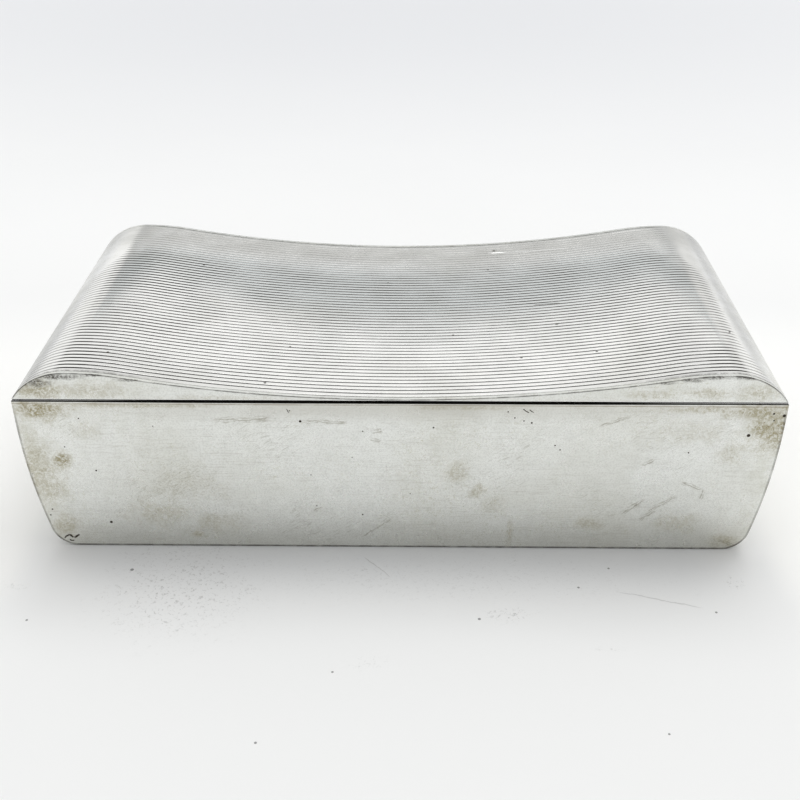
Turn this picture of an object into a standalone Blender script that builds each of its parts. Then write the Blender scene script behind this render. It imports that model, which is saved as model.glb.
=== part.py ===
"""Silver cigarette box: reeded concave lid, full-length knuckle hinge, cedar lining.

Metres, +Z up. X runs along the box, -Y is its front, and the origin is the
centre of the underside. Every piece is a separate object.
"""

from math import atan2, cos, pi, radians, sin, sqrt

import bmesh
import bpy

# Silver body
BODY_LENGTH = 0.1754
BODY_DEPTH = 0.0889
RIM_HEIGHT = 0.0409
PLATE_THICKNESS = 0.0011
BAND_THICKNESS = 0.0010
END_STRAIGHT = 0.0049
END_RADIUS = 0.142
BASE_CORNER_RADIUS = 0.0063

# Silver lid
RIM_GAP = 0.00035
LID_INSET = 0.0002
LID_EDGE_LAND = 0.0003
LID_END_RADIUS = 0.0155
SHOULDER_RADIUS = 0.070
CREST_RISE = 0.0074
DISH_RISE = 0.00095
SHEET_THICKNESS = 0.00075
REED_PITCH = 0.001575
REED_DEPTH = 0.0002
REED_CROWN_SHARES = (0.22, 0.78)

# Hinge
KNUCKLE_RADIUS = 0.0015
KNUCKLE_COUNT = 7
KNUCKLE_CHAMFER = 0.00012
KNUCKLE_SIDE_GAP = 0.00015
HINGE_END_INSET = 0.0003
PIN_RADIUS = 0.0006
PIN_CLEARANCE = 0.00006
PIN_END_INSET = 0.0004
SEAT_GAP = 0.00025
STOP_ANGLE = radians(106)
LID_BACK_DROP = 0.0010
BEARER_WALL = 0.0009
BEARER_DROP = 0.0032
BEARER_SPLIT = 0.0003
BEARER_END_GAP = 0.0004
LID_BEARER_RISE = 0.0020

# Cedar lining
BOARD_THICKNESS = 0.0030
FLOOR_THICKNESS = 0.0030
DIVIDER_THICKNESS = 0.0025
FIT_GAP = 0.0003
LINING_DROP = 0.0008
HOUSING_DEPTH = 0.0010
HOUSING_CLEARANCE = 0.0001

# Length by which a cutter runs past what it cuts
OVERRUN = 0.002

# Facets along each stretch of an outline
CORNER_STEPS = 6
SIDE_STEPS = 7
LID_END_STEPS = 6
SHOULDER_STEPS = 2
DISH_STEPS = 8
ROUND_STEPS = 24
SEAT_STEPS = 48

# Planes that several pieces share
HALF_LENGTH = BODY_LENGTH / 2
FRONT_FACE = -BODY_DEPTH / 2
BACK_FACE = BODY_DEPTH / 2
FRONT_INSIDE = FRONT_FACE + PLATE_THICKNESS
BACK_INSIDE = BACK_FACE - PLATE_THICKNESS
LID_BOTTOM = RIM_HEIGHT + RIM_GAP
FLOOR_TOP = BAND_THICKNESS + FLOOR_THICKNESS
LINING_TOP = RIM_HEIGHT - LINING_DROP

# Hinge axis: the seat round it reaches the back face at the edges that meet when the lid is open
SEAT_RADIUS = KNUCKLE_RADIUS + SEAT_GAP
AXIS_INSET = SEAT_RADIUS * cos(STOP_ANGLE / 2)
SEAT_HALF_HEIGHT = SEAT_RADIUS * sin(STOP_ANGLE / 2)
AXIS_Y = BACK_FACE - AXIS_INSET
AXIS_Z = RIM_HEIGHT - LID_BACK_DROP - SEAT_HALF_HEIGHT
BEARER_FRONT = AXIS_Y - SEAT_RADIUS - BEARER_WALL
BEARER_BOTTOM = AXIS_Z - BEARER_DROP


def clear_scene():
    """Remove every object that a new file starts with."""
    for old in list(bpy.data.objects):
        bpy.data.objects.remove(old, do_unlink=True)


def make_material(name, colour, roughness, metallic):
    """Return a Principled material."""
    material = bpy.data.materials.new(name)
    material.use_nodes = True
    shader = material.node_tree.nodes["Principled BSDF"]
    shader.inputs["Base Color"].default_value = (*colour, 1.0)
    shader.inputs["Roughness"].default_value = roughness
    shader.inputs["Metallic"].default_value = metallic
    material.diffuse_color = (*colour, 1.0)
    return material


def make_object(name, bm, material):
    """Turn a bmesh into an object whose faces point out."""
    bmesh.ops.recalc_face_normals(bm, faces=bm.faces)
    mesh = bpy.data.meshes.new(name)
    bm.to_mesh(mesh)
    bm.free()
    piece = bpy.data.objects.new(name, mesh)
    bpy.context.scene.collection.objects.link(piece)
    if material is not None:
        mesh.materials.append(material)
    return piece


def shade_round(piece, angle):
    """Shade smooth, apart from edges sharper than the angle."""
    piece.data.shade_smooth()
    piece.data.set_sharp_from_angle(angle=angle)


def cut(piece, cutter):
    """Cut a piece by a cutter that stays in the file as a wire guide."""
    cutter.hide_render = True
    cutter.display_type = "WIRE"
    modifier = piece.modifiers.new(f"cut_{cutter.name}", "BOOLEAN")
    modifier.operation = "DIFFERENCE"
    modifier.solver = "EXACT"
    modifier.object = cutter


def arc(centre, radius, start, end, steps):
    """Return the points of an arc in the XZ plane, both ends included."""
    points = []
    for step in range(steps + 1):
        angle = start + (end - start) * step / steps
        points.append((centre[0] + radius * cos(angle), centre[1] + radius * sin(angle)))
    return points


def mirrored(points):
    """Continue a right-hand path, which ends on the centre line, to its left-hand mirror image."""
    left = [(-x, z) for x, z in reversed(points) if x > 0]
    return points + left


def prism_bm(outline, low, high, along):
    """Return the bmesh of a flat outline swept along X or Y."""
    bm = bmesh.new()
    if along == "Y":
        verts = [bm.verts.new((u, low, v)) for u, v in outline]
    else:
        verts = [bm.verts.new((low, u, v)) for u, v in outline]
    face = bm.faces.new(verts)
    swept = bmesh.ops.extrude_face_region(bm, geom=[face])
    moved = [item for item in swept["geom"] if isinstance(item, bmesh.types.BMVert)]
    step = (0, high - low, 0) if along == "Y" else (high - low, 0, 0)
    bmesh.ops.translate(bm, verts=moved, vec=step)
    return bm


def strip_bm(outer, inner, low, high):
    """Return the bmesh of a sheet between two matching XZ paths, swept along Y."""
    bm = bmesh.new()
    rows = []
    for (x_out, z_out), (x_in, z_in) in zip(outer, inner):
        rows.append((
            bm.verts.new((x_out, low, z_out)),
            bm.verts.new((x_out, high, z_out)),
            bm.verts.new((x_in, high, z_in)),
            bm.verts.new((x_in, low, z_in)),
        ))
    for row, following in zip(rows, rows[1:]):
        for corner in range(4):
            after = (corner + 1) % 4
            bm.faces.new((row[corner], row[after], following[after], following[corner]))
    bm.faces.new(rows[0])
    bm.faces.new(rows[-1])
    return bm


def box_bm(low, high):
    """Return the bmesh of a block between two corners."""
    bm = bmesh.new()
    bmesh.ops.create_cube(bm, size=1.0)
    for vert in bm.verts:
        for axis in range(3):
            vert.co[axis] = high[axis] if vert.co[axis] > 0 else low[axis]
    return bm


def round_bm(stations, centre_y, centre_z, steps):
    """Return the bmesh of a turned solid on a line along X, from (x, radius) stations."""
    bm = bmesh.new()
    rings = []
    for x, radius in stations:
        ring = []
        for step in range(steps):
            angle = 2 * pi * step / steps
            y = centre_y + radius * cos(angle)
            z = centre_z + radius * sin(angle)
            ring.append(bm.verts.new((x, y, z)))
        rings.append(ring)
    for ring, following in zip(rings, rings[1:]):
        bridge(bm, ring, following)
    return bm, rings


def bridge(bm, ring, following):
    """Join two rings of vertices with a band of quads."""
    count = len(ring)
    for step in range(count):
        after = (step + 1) % count
        bm.faces.new((ring[step], ring[after], following[after], following[step]))


# Body outline

SIDE_CENTRE_X = HALF_LENGTH - END_RADIUS
SIDE_CENTRE_Z = RIM_HEIGHT - END_STRAIGHT
CORNER_REACH = sqrt((END_RADIUS - BASE_CORNER_RADIUS) ** 2 - (SIDE_CENTRE_Z - BASE_CORNER_RADIUS) ** 2)
CORNER_CENTRE_X = SIDE_CENTRE_X + CORNER_REACH
TANGENT_ANGLE = -atan2(SIDE_CENTRE_Z - BASE_CORNER_RADIUS, CORNER_REACH)


def body_path(inset):
    """Return the body's outline from the right rim down and round to the left rim."""
    side = arc((SIDE_CENTRE_X, SIDE_CENTRE_Z), END_RADIUS - inset, 0, TANGENT_ANGLE, SIDE_STEPS)
    corner = arc(
        (CORNER_CENTRE_X, BASE_CORNER_RADIUS), BASE_CORNER_RADIUS - inset,
        TANGENT_ANGLE, -pi / 2, CORNER_STEPS,
    )
    return mirrored([(HALF_LENGTH - inset, RIM_HEIGHT)] + side + corner[1:])


def side_x(z, inset):
    """Return how far out the end wall's upright and large arc are at a height."""
    if z >= SIDE_CENTRE_Z:
        return HALF_LENGTH - inset
    return SIDE_CENTRE_X + sqrt((END_RADIUS - inset) ** 2 - (SIDE_CENTRE_Z - z) ** 2)


def wall_x(z, inset):
    """Return how far out the end wall is at a height, with the base corner counted."""
    radius = BASE_CORNER_RADIUS - inset
    if z >= BASE_CORNER_RADIUS + radius * sin(TANGENT_ANGLE):
        return side_x(z, inset)
    return CORNER_CENTRE_X + sqrt(radius ** 2 - (BASE_CORNER_RADIUS - z) ** 2)


def heights(low, high):
    """Return the heights at which a lining board follows the end wall."""
    return [low + (high - low) * step / SIDE_STEPS for step in range(SIDE_STEPS + 1)]


# Lid outline

LID_CORNER_X = HALF_LENGTH - LID_INSET
END_CENTRE_Z = RIM_HEIGHT + CREST_RISE - LID_END_RADIUS
END_START = atan2(
    LID_BOTTOM + LID_EDGE_LAND - END_CENTRE_Z,
    sqrt(LID_END_RADIUS ** 2 - (LID_BOTTOM + LID_EDGE_LAND - END_CENTRE_Z) ** 2),
)
CREST_X = LID_CORNER_X - LID_END_RADIUS * cos(END_START)
SHOULDER_CENTRE_Z = RIM_HEIGHT + CREST_RISE - SHOULDER_RADIUS
DISH_LOW_Z = RIM_HEIGHT + DISH_RISE
LOW_OVER_SHOULDER = DISH_LOW_Z - SHOULDER_CENTRE_Z
DISH_RADIUS = (
    (CREST_X ** 2 + LOW_OVER_SHOULDER ** 2 - SHOULDER_RADIUS ** 2)
    / (2 * (SHOULDER_RADIUS - LOW_OVER_SHOULDER))
)
DISH_CENTRE_Z = DISH_LOW_Z + DISH_RADIUS
DISH_ANGLE = atan2(CREST_X, DISH_CENTRE_Z - SHOULDER_CENTRE_Z)


def lid_path(depth):
    """Return the lid's outline, from its right corner to its left, at a depth under its surface.

    Each end arc runs up to the crest, a flatter shoulder arc turns it over, and
    one shallow arc dips across the middle. Neighbouring arcs share a tangent.
    """
    end = arc(
        (CREST_X, END_CENTRE_Z), LID_END_RADIUS - depth, END_START, pi / 2, LID_END_STEPS,
    )
    corner = (end[0][0], LID_BOTTOM)
    return over_crest([corner] + end, depth)


def lid_inside_path():
    """Return the underside of the lid's sheet, whose end arcs stop at the lid's bottom edge."""
    radius = LID_END_RADIUS - SHEET_THICKNESS
    rise = LID_BOTTOM - END_CENTRE_Z
    start = atan2(rise, sqrt(radius ** 2 - rise ** 2))
    end = arc((CREST_X, END_CENTRE_Z), radius, start, pi / 2, LID_END_STEPS + 1)
    return over_crest(end, SHEET_THICKNESS)


def over_crest(end, depth):
    """Continue an end path over the shoulder and the dish, and mirror it."""
    shoulder = arc(
        (CREST_X, SHOULDER_CENTRE_Z), SHOULDER_RADIUS - depth,
        pi / 2, pi / 2 + DISH_ANGLE, SHOULDER_STEPS,
    )
    dish = arc(
        (0, DISH_CENTRE_Z), DISH_RADIUS + depth,
        -pi / 2 + DISH_ANGLE, -pi / 2, DISH_STEPS // 2,
    )
    dish[-1] = (0, dish[-1][1])
    return mirrored(end + shoulder[1:] + dish[1:])


# Silver pieces

def add_body_plates(silver, seat):
    """Add the flat front and back plates, which cover the edges of the band between them."""
    front = prism_bm(body_path(0), FRONT_FACE, FRONT_INSIDE, "Y")
    make_object("front_plate", front, silver)
    outline = body_path(0)
    below_seat = AXIS_Z - SEAT_HALF_HEIGHT + SEAT_GAP
    outline[0] = (side_x(below_seat, 0), below_seat)
    outline[-1] = (-outline[0][0], below_seat)
    kept = [point for point in outline if point[1] <= below_seat]
    back = make_object("back_plate", prism_bm(kept, BACK_INSIDE, BACK_FACE, "Y"), silver)
    cut(back, seat)


def add_wrap_band(silver):
    """Add the strip that is bent into both ends and the base, notched for the hinge."""
    band = make_object(
        "wrap_band",
        strip_bm(body_path(0), body_path(BAND_THICKNESS), FRONT_INSIDE, BACK_INSIDE),
        silver,
    )
    notch, rings = round_bm(
        [(-HALF_LENGTH - OVERRUN, SEAT_RADIUS), (HALF_LENGTH + OVERRUN, SEAT_RADIUS)],
        AXIS_Y, AXIS_Z, SEAT_STEPS,
    )
    for ring in rings:
        for vert in ring:
            if vert.co.z > AXIS_Z + SEAT_RADIUS * sin(pi / SEAT_STEPS):
                side = 1 if vert.co.y > AXIS_Y else -1
                share = (vert.co.z - AXIS_Z) / SEAT_RADIUS
                vert.co.y = AXIS_Y + side * SEAT_RADIUS
                vert.co.z = AXIS_Z + share * (RIM_HEIGHT - AXIS_Z + OVERRUN)
        notch.faces.new(ring)
    cutter = make_object("knuckle_notch_cutter", notch, None)
    cut(band, cutter)
    shade_round(band, radians(30))


def add_lid_top(silver):
    """Add the reeded sheet: each reed has a flat crown between two grooves along the box."""
    count = round((BACK_INSIDE - FRONT_INSIDE) / REED_PITCH)
    pitch = (BACK_INSIDE - FRONT_INSIDE) / count
    stations = []
    for reed in range(count):
        start = FRONT_INSIDE + reed * pitch
        stations.append((start, REED_DEPTH))
        for share in REED_CROWN_SHARES:
            stations.append((start + share * pitch, 0))
    stations.append((BACK_INSIDE, REED_DEPTH))
    bm = bmesh.new()
    rows = []
    for y, depth in stations:
        rows.append([bm.verts.new((x, y, z)) for x, z in lid_path(depth)])
    under = []
    for y in (FRONT_INSIDE, BACK_INSIDE):
        under.append([bm.verts.new((x, y, z)) for x, z in lid_inside_path()])
    for row, following in zip(rows, rows[1:]):
        join_rows(bm, row, following)
    join_rows(bm, rows[0], under[0])
    join_rows(bm, rows[-1], under[1])
    join_rows(bm, under[0], under[1])
    for end in (0, -1):
        bm.faces.new([row[end] for row in rows] + [under[1][end], under[0][end]])
    top = make_object("lid_top", bm, silver)
    shade_round(top, radians(12))


def join_rows(bm, row, following):
    """Join two open rows of vertices with quads."""
    for step in range(len(row) - 1):
        bm.faces.new((row[step], row[step + 1], following[step + 1], following[step]))


def add_lid_walls(silver, seat):
    """Add the crescent walls that close the lid's front and back."""
    top = lid_path(0)
    front_foot = [(x, LID_BOTTOM) for x, z in top]
    lowered = [(x, z) for x, z in top[1:-1]]
    front = strip_bm(lowered, front_foot[1:-1], FRONT_FACE, FRONT_INSIDE)
    make_object("lid_front_wall", front, silver)
    back_foot_z = AXIS_Z + SEAT_HALF_HEIGHT - SEAT_GAP
    back_foot = [(x, back_foot_z) for x, z in lowered]
    back = strip_bm(lowered, back_foot, BACK_INSIDE, BACK_FACE)
    cut(make_object("lid_back_wall", back, silver), seat)


def add_bearers(silver, seat):
    """Add the two scooped strips that the knuckles are soldered to, one in the box, one in the lid."""
    rise = LID_BOTTOM + LID_BEARER_RISE - END_CENTRE_Z
    inner_radius = LID_END_RADIUS - SHEET_THICKNESS - BEARER_END_GAP
    reach = CREST_X + sqrt(inner_radius ** 2 - rise ** 2)
    box_bearer = make_object(
        "box_hinge_bearer",
        box_bm(
            (-reach, BEARER_FRONT, BEARER_BOTTOM),
            (reach, BACK_INSIDE, AXIS_Z - BEARER_SPLIT / 2),
        ),
        silver,
    )
    cut(box_bearer, seat)
    top_z = LID_BOTTOM + LID_BEARER_RISE
    under_radius = DISH_RADIUS + SHEET_THICKNESS + FIT_GAP
    start = -pi / 2 + atan2(
        sqrt(under_radius ** 2 - (DISH_CENTRE_Z - top_z) ** 2), DISH_CENTRE_Z - top_z,
    )
    dip = arc((0, DISH_CENTRE_Z), under_radius, start, -pi / 2, DISH_STEPS // 2)
    dip[-1] = (0, dip[-1][1])
    upper = mirrored([(reach, top_z)] + dip)
    lower = [(x, AXIS_Z + BEARER_SPLIT / 2) for x, z in upper]
    lid_bearer = make_object(
        "lid_hinge_bearer", strip_bm(upper, lower, BEARER_FRONT, BACK_INSIDE), silver,
    )
    cut(lid_bearer, seat)


def add_knuckles(silver):
    """Add the short tubes of the hinge, in the box and the lid by turns from the left end."""
    hinge_length = BODY_LENGTH - 2 * HINGE_END_INSET
    length = (hinge_length - (KNUCKLE_COUNT - 1) * KNUCKLE_SIDE_GAP) / KNUCKLE_COUNT
    bore = PIN_RADIUS + PIN_CLEARANCE
    for index in range(KNUCKLE_COUNT):
        left = -hinge_length / 2 + index * (length + KNUCKLE_SIDE_GAP)
        right = left + length
        stations = [
            (left, bore),
            (left, KNUCKLE_RADIUS - KNUCKLE_CHAMFER),
            (left + KNUCKLE_CHAMFER, KNUCKLE_RADIUS),
            (right - KNUCKLE_CHAMFER, KNUCKLE_RADIUS),
            (right, KNUCKLE_RADIUS - KNUCKLE_CHAMFER),
            (right, bore),
        ]
        bm, rings = round_bm(stations, AXIS_Y, AXIS_Z, ROUND_STEPS)
        bridge(bm, rings[-1], rings[0])
        owner = "box" if index % 2 == 0 else "lid"
        knuckle = make_object(f"{owner}_knuckle_{index // 2 + 1}", bm, silver)
        shade_round(knuckle, radians(30))


def add_pin(steel):
    """Add the wire on which the lid turns."""
    reach = HALF_LENGTH - HINGE_END_INSET - PIN_END_INSET
    bm, rings = round_bm(
        [(-reach, PIN_RADIUS), (reach, PIN_RADIUS)], AXIS_Y, AXIS_Z, ROUND_STEPS,
    )
    for ring in rings:
        bm.faces.new(ring)
    shade_round(make_object("hinge_pin", bm, steel), radians(30))


def make_seat_cutter():
    """Return the round cutter that scoops the hinge's seat out of walls and bearers."""
    bm, rings = round_bm(
        [(-HALF_LENGTH - OVERRUN, SEAT_RADIUS), (HALF_LENGTH + OVERRUN, SEAT_RADIUS)],
        AXIS_Y, AXIS_Z, SEAT_STEPS,
    )
    for ring in rings:
        bm.faces.new(ring)
    return make_object("hinge_seat_cutter", bm, None)


# Cedar pieces

def add_floor_board(cedar):
    """Add the floor board, with ends sloped to clear the band's round corners."""
    radius = BASE_CORNER_RADIUS - BAND_THICKNESS
    reach = CORNER_CENTRE_X + sqrt(radius ** 2 - (BASE_CORNER_RADIUS - FLOOR_TOP) ** 2) - FIT_GAP
    outline = [
        (reach, FLOOR_TOP),
        (CORNER_CENTRE_X, BAND_THICKNESS),
        (-CORNER_CENTRE_X, BAND_THICKNESS),
        (-reach, FLOOR_TOP),
    ]
    make_object("cedar_floor", prism_bm(outline, FRONT_INSIDE, BACK_INSIDE, "Y"), cedar)


def add_long_board(name, cedar, low_y, high_y, top, housing):
    """Add a front or back board, whose ends follow the band, with a housing for the divider."""
    levels = heights(FLOOR_TOP, top)
    outer = [(wall_x(z, BAND_THICKNESS + FIT_GAP), z) for z in levels]
    outline = outer + [(-x, z) for x, z in reversed(outer)]
    board = make_object(name, prism_bm(outline, low_y, high_y, "Y"), cedar)
    cut(board, housing)


def make_housing_cutter():
    """Return the block that cuts the divider's housing in both long boards."""
    half = DIVIDER_THICKNESS / 2 + HOUSING_CLEARANCE
    low = (-half, FRONT_INSIDE + BOARD_THICKNESS - HOUSING_DEPTH, FLOOR_TOP - OVERRUN)
    high = (half, BACK_INSIDE - BOARD_THICKNESS + HOUSING_DEPTH, RIM_HEIGHT + OVERRUN)
    return make_object("divider_housing_cutter", box_bm(low, high), None)


def add_end_boards(cedar):
    """Add the end boards, planed to the curve of the end walls."""
    levels = heights(FLOOR_TOP, LINING_TOP)
    outer = [(wall_x(z, BAND_THICKNESS + FIT_GAP), z) for z in levels]
    inner = [(side_x(z, BAND_THICKNESS + FIT_GAP + BOARD_THICKNESS), z) for z in levels]
    low_y = FRONT_INSIDE + BOARD_THICKNESS
    high_y = BACK_INSIDE - BOARD_THICKNESS
    for name, side in (("cedar_left_end", -1), ("cedar_right_end", 1)):
        bm = strip_bm(
            [(side * x, z) for x, z in outer], [(side * x, z) for x, z in inner], low_y, high_y,
        )
        make_object(name, bm, cedar)


def add_divider(cedar):
    """Add the divider, whose tongues slide down the housings in the long boards."""
    front = FRONT_INSIDE + BOARD_THICKNESS
    back = BACK_INSIDE - BOARD_THICKNESS
    tongue = HOUSING_DEPTH - HOUSING_CLEARANCE
    shoulder_z = BEARER_BOTTOM - HOUSING_CLEARANCE
    outline = [
        (front - tongue, FLOOR_TOP),
        (back + tongue, FLOOR_TOP),
        (back + tongue, shoulder_z),
        (back - HOUSING_CLEARANCE, shoulder_z),
        (back - HOUSING_CLEARANCE, LINING_TOP),
        (front - tongue, LINING_TOP),
    ]
    half = DIVIDER_THICKNESS / 2
    make_object("cedar_divider", prism_bm(outline, -half, half, "X"), cedar)


def hang_lid():
    """Parent the lid's pieces to an empty on the hinge axis."""
    pivot = bpy.data.objects.new("lid_pivot", None)
    bpy.context.scene.collection.objects.link(pivot)
    pivot.location = (0, AXIS_Y, AXIS_Z)
    for piece in bpy.data.objects:
        if piece.type == "MESH" and piece.name.startswith("lid_"):
            piece.parent = pivot
            piece.location = (0, -AXIS_Y, -AXIS_Z)


def build():
    """Build the whole box."""
    clear_scene()
    silver = make_material("silver", (0.80, 0.79, 0.76), 0.28, 1.0)
    steel = make_material("pin_steel", (0.55, 0.54, 0.52), 0.35, 1.0)
    cedar = make_material("cedar", (0.47, 0.25, 0.13), 0.65, 0.0)
    seat = make_seat_cutter()
    add_body_plates(silver, seat)
    add_wrap_band(silver)
    add_lid_top(silver)
    add_lid_walls(silver, seat)
    add_bearers(silver, seat)
    add_knuckles(silver)
    add_pin(steel)
    housing = make_housing_cutter()
    add_floor_board(cedar)
    front_board = FRONT_INSIDE + BOARD_THICKNESS
    back_board = BACK_INSIDE - BOARD_THICKNESS
    add_long_board("cedar_front", cedar, FRONT_INSIDE, front_board, LINING_TOP, housing)
    add_long_board("cedar_back", cedar, back_board, BACK_INSIDE, BEARER_BOTTOM, housing)
    add_end_boards(cedar)
    add_divider(cedar)
    hang_lid()


build()
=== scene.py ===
"""Looks of the silver cigarette box: worn silver, a finely reeded lid, a cedar lining."""

from functools import reduce
from math import atan2, cos, hypot, pi, radians, sin, sqrt

import bmesh
import bpy
from mathutils import Matrix, Vector


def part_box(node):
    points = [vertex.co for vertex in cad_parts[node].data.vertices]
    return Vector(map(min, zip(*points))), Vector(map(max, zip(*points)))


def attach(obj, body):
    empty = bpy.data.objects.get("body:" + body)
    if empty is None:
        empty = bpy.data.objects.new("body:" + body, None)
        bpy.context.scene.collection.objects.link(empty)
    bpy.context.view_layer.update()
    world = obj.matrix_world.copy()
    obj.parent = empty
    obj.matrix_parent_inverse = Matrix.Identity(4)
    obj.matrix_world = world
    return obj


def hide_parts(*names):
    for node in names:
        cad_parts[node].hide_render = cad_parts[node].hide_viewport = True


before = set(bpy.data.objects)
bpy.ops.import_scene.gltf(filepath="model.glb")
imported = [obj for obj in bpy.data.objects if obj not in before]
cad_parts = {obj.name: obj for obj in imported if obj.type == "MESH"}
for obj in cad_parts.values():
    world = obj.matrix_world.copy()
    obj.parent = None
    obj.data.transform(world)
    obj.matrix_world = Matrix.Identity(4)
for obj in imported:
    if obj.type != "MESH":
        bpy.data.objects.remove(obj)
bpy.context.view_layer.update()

# Sizes of the parts in model.glb
PLATE_LOW, PLATE_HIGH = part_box("front_plate")
BACK_LOW, BACK_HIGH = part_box("back_plate")
LID_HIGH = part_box("lid_top")[1]
WALL_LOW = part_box("lid_front_wall")[0]
REAR_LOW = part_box("lid_back_wall")[0]
KNUCKLE_LOW, KNUCKLE_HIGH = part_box("box_knuckle_1")
PIN_LOW, PIN_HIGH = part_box("hinge_pin")
HALF_LENGTH = PLATE_HIGH.x
RIM_HEIGHT = PLATE_HIGH.z
FRONT_FACE = PLATE_LOW.y
FRONT_INSIDE = PLATE_HIGH.y
BACK_INSIDE = BACK_LOW.y
BACK_FACE = BACK_HIGH.y
LID_BOTTOM = WALL_LOW.z
LID_CORNER_X = LID_HIGH.x
CREST_Z = LID_HIGH.z
AXIS_Y = (PIN_LOW.y + PIN_HIGH.y) / 2
AXIS_Z = (PIN_LOW.z + PIN_HIGH.z) / 2
KNUCKLE_RADIUS = (KNUCKLE_HIGH.z - KNUCKLE_LOW.z) / 2
PIN_RADIUS = (PIN_HIGH.z - PIN_LOW.z) / 2

# Radii, thicknesses and other small sizes of the silver, in metres
END_STRAIGHT = 0.0049
END_RADIUS = 0.142
BASE_CORNER_RADIUS = 0.0063
BAND_THICKNESS = 0.001
LID_EDGE_LAND = 0.0003
LID_END_RADIUS = 0.0155
SHOULDER_RADIUS = 0.07
DISH_RISE = 0.00095
SHEET_THICKNESS = 0.00075
REED_COUNT = 55
REED_DEPTH = 0.0002
REED_LAND_SHARE = 0.56
LAND_MARGIN = 0.03
FLANK_STEPS = 5
PLATE_EDGE_RADIUS = 0.0001
BACK_EDGE_RADIUS = 0.00012
PIN_CLEARANCE = 0.00006
PIN_TIP_RADIUS = 0.00001
KNUCKLE_FILLET = 0.00016
KNUCKLE_SOOT = 0.0006
FILLET_STEPS = 4
HINGE_STEPS = 56
BOARD_ROUND = 0.00035
BOARD_ROUND_STEPS = 3
BOARD_WELD = 0.00001

# Angles from which the edge between two faces stays sharp
BAND_SHARP = radians(40)
REED_SHARP = radians(75)
HINGE_SHARP = radians(50)
BOARD_SHARP = radians(40)

# How handling has worn the reeds. LEFT_WEAR and RIGHT_WEAR say how far from the middle
# they stop, how much sooner at the back and how much later at the front.
BACK_WEAR = (0.008, 0.026)
FRONT_WEAR_END = -0.024
LEFT_WEAR = (0.0835, 0.006, 0.003)
RIGHT_WEAR = (0.081, 0.0045, 0.0035)
WEAR_WIDTH = 0.0075
REAR_WEAR_START = 0.022
REAR_WEAR = 0.35
FIRST_FLANK_FADE = (0.024, 0.032)

# Where dirt gathers on the rounded edges, and how much; along the front plate's foot it also stands
# for a painted contact shadow
DIRT_BESIDE = 0.75
DIRT_ROUND = 0.7
DIRT_CREST = 0.3
CLEAN_RIM = 0.0004
DIRTY_SHADED_FOOT = 0.003
SIDE_DIRT = 0.65
PLATE_DIRT_SHADE_REACH = 0.0003
CLEAN_LIP = 0.0003
WALL_DIRT_REACH = 0.00003
RIM_LINE_DROP = 0.00052

# The grain of cedar: its figure and its pores
FIGURE_WIDTH = 0.0022
FIGURE_LENGTH = 0.055
PORE_WIDTH = 0.0004
PORE_LENGTH = 0.01


def smooth_object(name, bm, material, body, replaced):
    """Finish a bmesh as a smooth piece that rides on a body and stands for CAD nodes."""
    bmesh.ops.recalc_face_normals(bm, faces=bm.faces)
    mesh = bpy.data.meshes.new(name)
    flat = [len(face.verts) > 4 for face in bm.faces]
    bm.to_mesh(mesh)
    bm.free()
    for polygon, is_flat in zip(mesh.polygons, flat):
        polygon.use_smooth = not is_flat
    mesh.materials.append(material)
    piece = bpy.data.objects.new(name, mesh)
    bpy.context.scene.collection.objects.link(piece)
    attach(piece, body)
    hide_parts(*replaced)
    return piece


def arc(centre, radius, start, end, steps):
    """Return the points of an arc in the XZ plane, both ends included."""
    return [
        (
            centre[0] + radius * cos(start + (end - start) * step / steps),
            centre[1] + radius * sin(start + (end - start) * step / steps),
        )
        for step in range(steps + 1)
    ]


def mirrored(points):
    """Continue a right-hand path to its left-hand mirror image."""
    return points + [(-x, z) for x, z in reversed(points) if x > 0]


def strip_bm(outer, inner, low, high):
    """Return the bmesh of a sheet between two matching XZ paths, swept along Y."""
    bm = bmesh.new()
    rows = []
    for (x_out, z_out), (x_in, z_in) in zip(outer, inner):
        rows.append((
            bm.verts.new((x_out, low, z_out)),
            bm.verts.new((x_out, high, z_out)),
            bm.verts.new((x_in, high, z_in)),
            bm.verts.new((x_in, low, z_in)),
        ))
    for row, following in zip(rows, rows[1:]):
        for corner in range(4):
            after = (corner + 1) % 4
            bm.faces.new((row[corner], row[after], following[after], following[corner]))
    bm.faces.new(rows[0])
    bm.faces.new(rows[-1])
    return bm


def plate_bm(outline, low, high, radius, dirty=lambda z: 1, reach=0.0001, steps=4):
    """Return the bmesh of a plate whose outline is rounded over towards both flat faces.

    Each ring of vertices holds how much dirt and painted shade its edge gathers, and reach is
    how far past the rounding they spread over the flat.
    """
    bm = bmesh.new()
    layer = bm.verts.layers.float.new("edge")
    rings = [(3 * radius + reach, low, 0), (radius + reach, low, DIRT_BESIDE)]
    for step in range(steps + 1):
        angle = pi / 2 * step / steps
        inset = radius * (1 - sin(angle))
        edge = DIRT_ROUND + DIRT_CREST * sin(2 * angle)
        rings.append((inset, low + radius * (1 - cos(angle)), edge))
    rings.append((0, low + 2 * radius, 0))
    rings += [(inset, low + high - y, edge) for inset, y, edge in reversed(rings)]
    loops = []
    for inset, y, edge in rings:
        loop = [bm.verts.new((x, y, z)) for x, z in outline(inset)]
        for vert in loop:
            vert[layer] = edge * dirty(vert.co.z)
        loops.append(loop)
    for loop, following in zip(loops, loops[1:]):
        for corner in range(len(loop)):
            after = (corner + 1) % len(loop)
            bm.faces.new((loop[corner], loop[after], following[after], following[corner]))
    for loop in (loops[0], loops[-1]):
        bm.faces.new(loop)
    return bm


# Outlines, with finer arcs than the solids

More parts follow.
